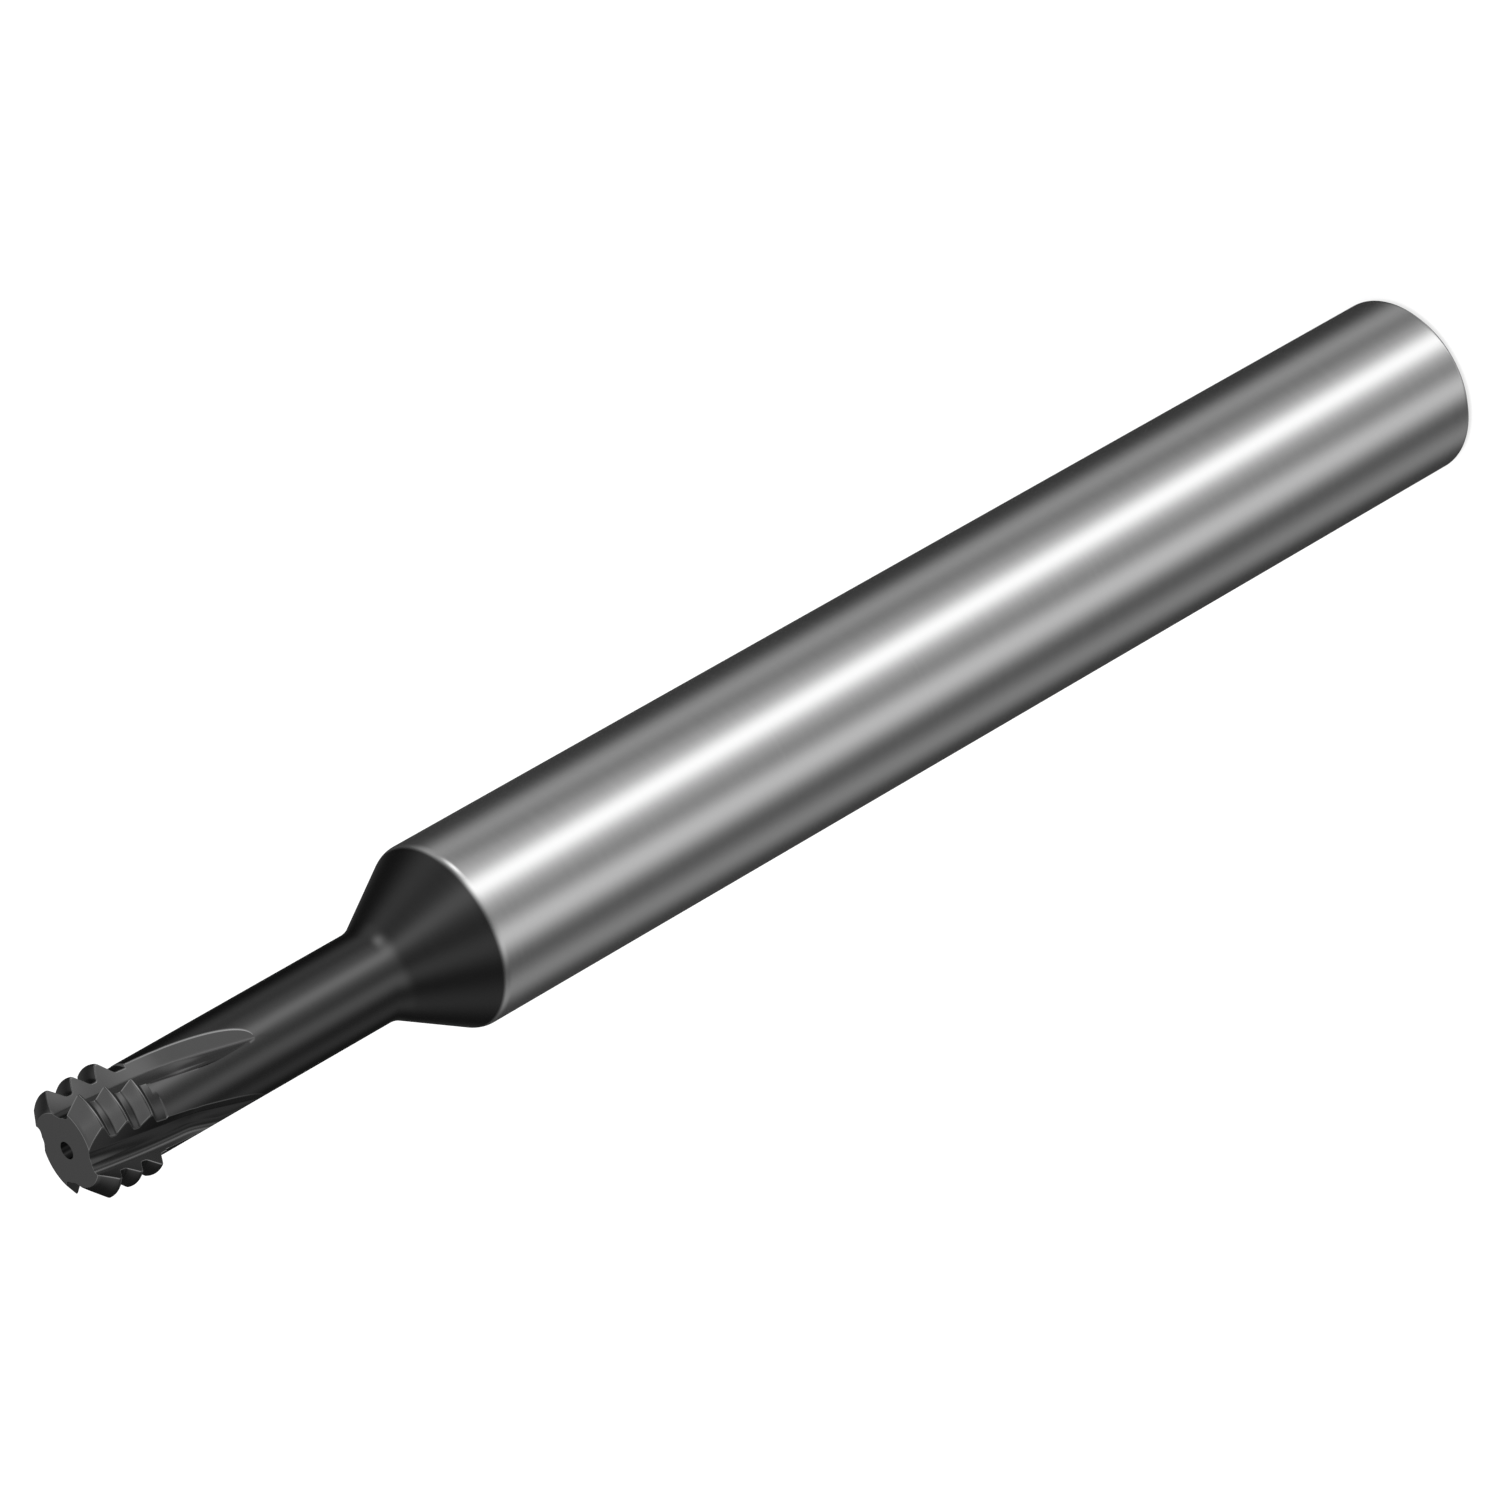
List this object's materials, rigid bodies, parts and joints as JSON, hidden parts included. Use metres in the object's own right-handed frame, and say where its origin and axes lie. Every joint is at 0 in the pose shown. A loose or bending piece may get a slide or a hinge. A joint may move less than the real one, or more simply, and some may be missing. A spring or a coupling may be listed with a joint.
{
  "type": "thread mill",
  "caption": "Slim solid carbide cutter with a plain round shank, a cone, a thin neck and a short fluted head with rings of thread-shaped teeth.",
  "frame": {"origin": "middle of the shank end, where the tool stands", "axes": "+Z along the tool's axis from the shank end to the cutting face, +X through the first cutting edge at the cutting face"},
  "size_m": [0.006, 0.006, 0.057],
  "materials": {
    "carbide": "bright ground shank, thin dark grey hard coating on the cone, the neck and the head"
  },
  "bodies": {
    "root": {"thread_mill": "carbide"}
  },
  "joints": []
}
